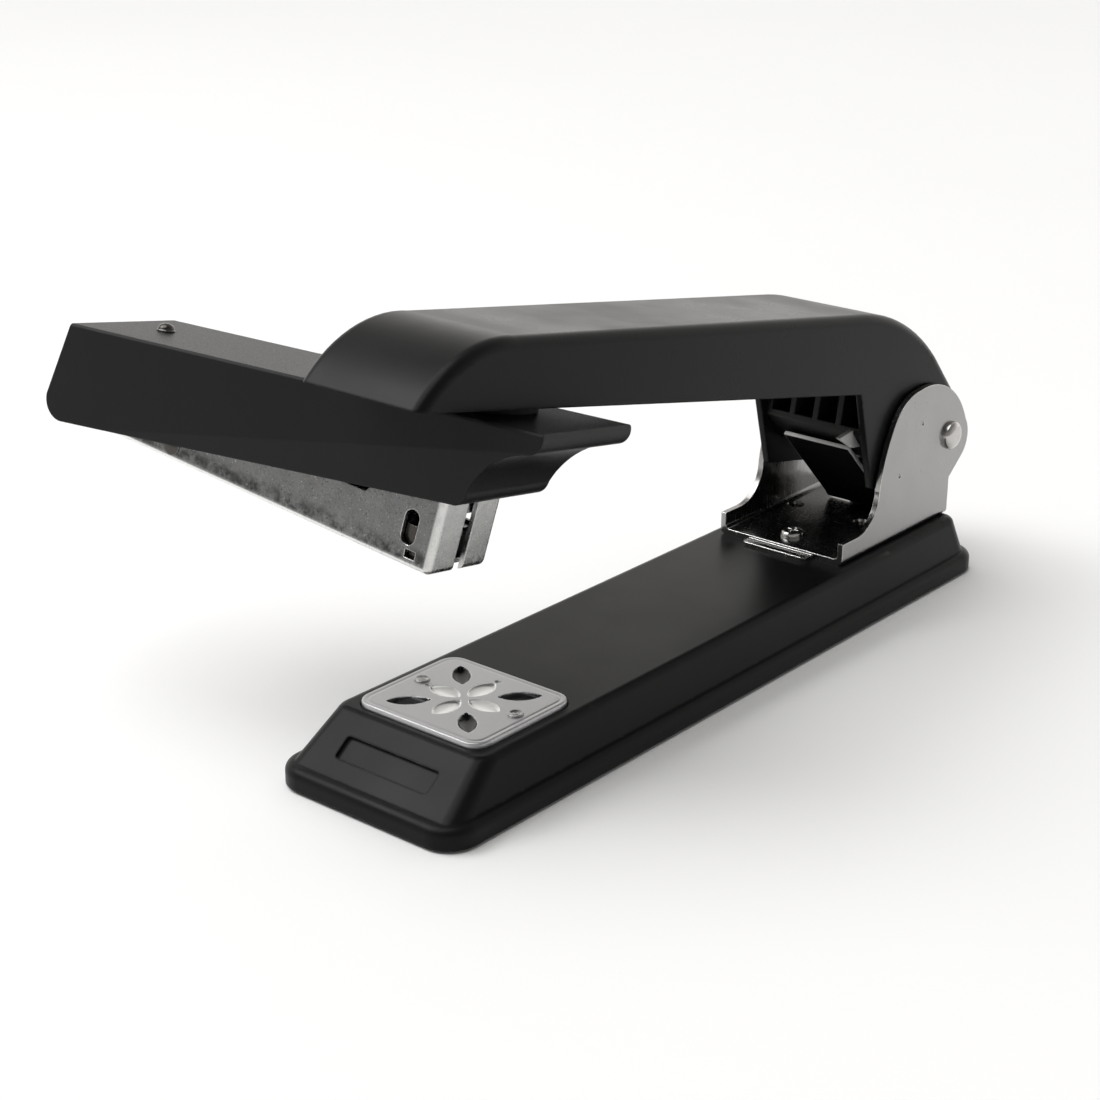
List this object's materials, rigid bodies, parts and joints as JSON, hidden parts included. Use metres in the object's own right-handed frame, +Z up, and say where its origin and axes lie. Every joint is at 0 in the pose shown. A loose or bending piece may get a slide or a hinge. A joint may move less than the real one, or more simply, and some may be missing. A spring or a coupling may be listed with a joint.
{
  "type": "long reach stapler",
  "caption": "Long reach stapler: a weighted base with a clinching anvil, a deep sprung arm, and a head that swivels under the arm and carries a hinged staple magazine.",
  "frame": {"origin": "centre of the base's underside, on the surface it stands on", "axes": "+X forward from the arm's pivot to the anvil, +Y to the left of someone facing +X, +Z up"},
  "size_m": [0.1728, 0.1085, 0.082],
  "materials": {
    "base_paint": "satin black enamel",
    "arm_paint": "satin black enamel",
    "head_plastic": "fine-textured matte black",
    "block_plastic": "moulded black plastic",
    "rubber": "matte black rubber",
    "nylon": "natural nylon",
    "plain_steel": "plain zinc plate",
    "anvil_nickel": "satin nickel",
    "bracket_plate": "bright nickel plate",
    "screw_plate": "bright zinc plate",
    "rivet_steel": "bright steel",
    "pin_plate": "polished steel",
    "black_spring": "black oxide",
    "spring_steel": "bright spring steel",
    "blade_steel": "ground steel",
    "magazine_zinc": "zinc plate with a mottled grain",
    "rail_steel": "zinc plate",
    "staple_wire": "galvanised wire"
  },
  "bodies": {
    "base": {"base_shell": "base_paint", "base_plate": "plain_steel", "rubber_sole": "rubber", "anvil_plate": "anvil_nickel", "anvil_rivets": "rivet_steel", "pivot_bracket": "bracket_plate", "bracket_screw": "screw_plate", "bracket_nut": "plain_steel", "bracket_rivets": "rivet_steel", "pivot_pin": "pin_plate", "pivot_washers": "nylon"},
    "arm": {"arm_shell": "arm_paint", "hinge_block": "block_plastic", "pivot_sleeve": "plain_steel", "return_leaf": "black_spring", "leaf_clip": "screw_plate", "swivel_seat": "plain_steel", "swivel_stud": "plain_steel", "swivel_washer": "nylon", "spring_washer": "spring_steel", "swivel_retainer": "plain_steel"},
    "head": {"head_cover": "head_plastic", "detent_knob": "rivet_steel", "driver_blade": "blade_steel", "magazine_spring": "spring_steel", "driver_rivet": "rivet_steel", "hinge_pin": "pin_plate", "hinge_spacers": "nylon"},
    "magazine": {"magazine_housing": "magazine_zinc", "staple_rail": "rail_steel", "rail_rivets": "rivet_steel", "rail_end_block": "block_plastic", "guide_rod": "plain_steel", "staple_guides": "rail_steel", "staple_strip": "staple_wire", "pusher_spring": "spring_steel"},
    "pusher": {"pusher": "block_plastic"}
  },
  "joints": [
    {"name": "arm_hinge", "type": "hinge", "parent": "base", "child": "arm", "pos_m": [-0.0798, 0, 0.0303], "axis": [0, -1, 0], "range_deg": [-9.6, 0], "stiffness_Nm_per_rad": 1, "springref_deg": 25.78, "deforming": ["return_leaf"]},
    {"name": "head_swivel", "type": "hinge", "parent": "arm", "child": "head", "pos_m": [0.05366, 0, 0.06807], "axis": [-0.2079, 0, 0.9781], "continuous": true},
    {"name": "magazine_hinge", "type": "hinge", "parent": "head", "child": "magazine", "pos_m": [0.06596, -0.07535, 0.05791], "axis": [-0.9698, -0.1305, -0.2061], "range_deg": [-7.7, 0], "stiffness_Nm_per_rad": 2, "springref_deg": 6.88, "deforming": ["magazine_spring"]},
    {"name": "pusher_slide", "type": "slide", "parent": "magazine", "child": "pusher", "axis": [-0.0985, 0.9824, -0.1588], "range_m": [-0.0215, 0], "stiffness_N_per_m": 60, "springref_m": 0.03, "deforming": ["pusher_spring"]}
  ]
}
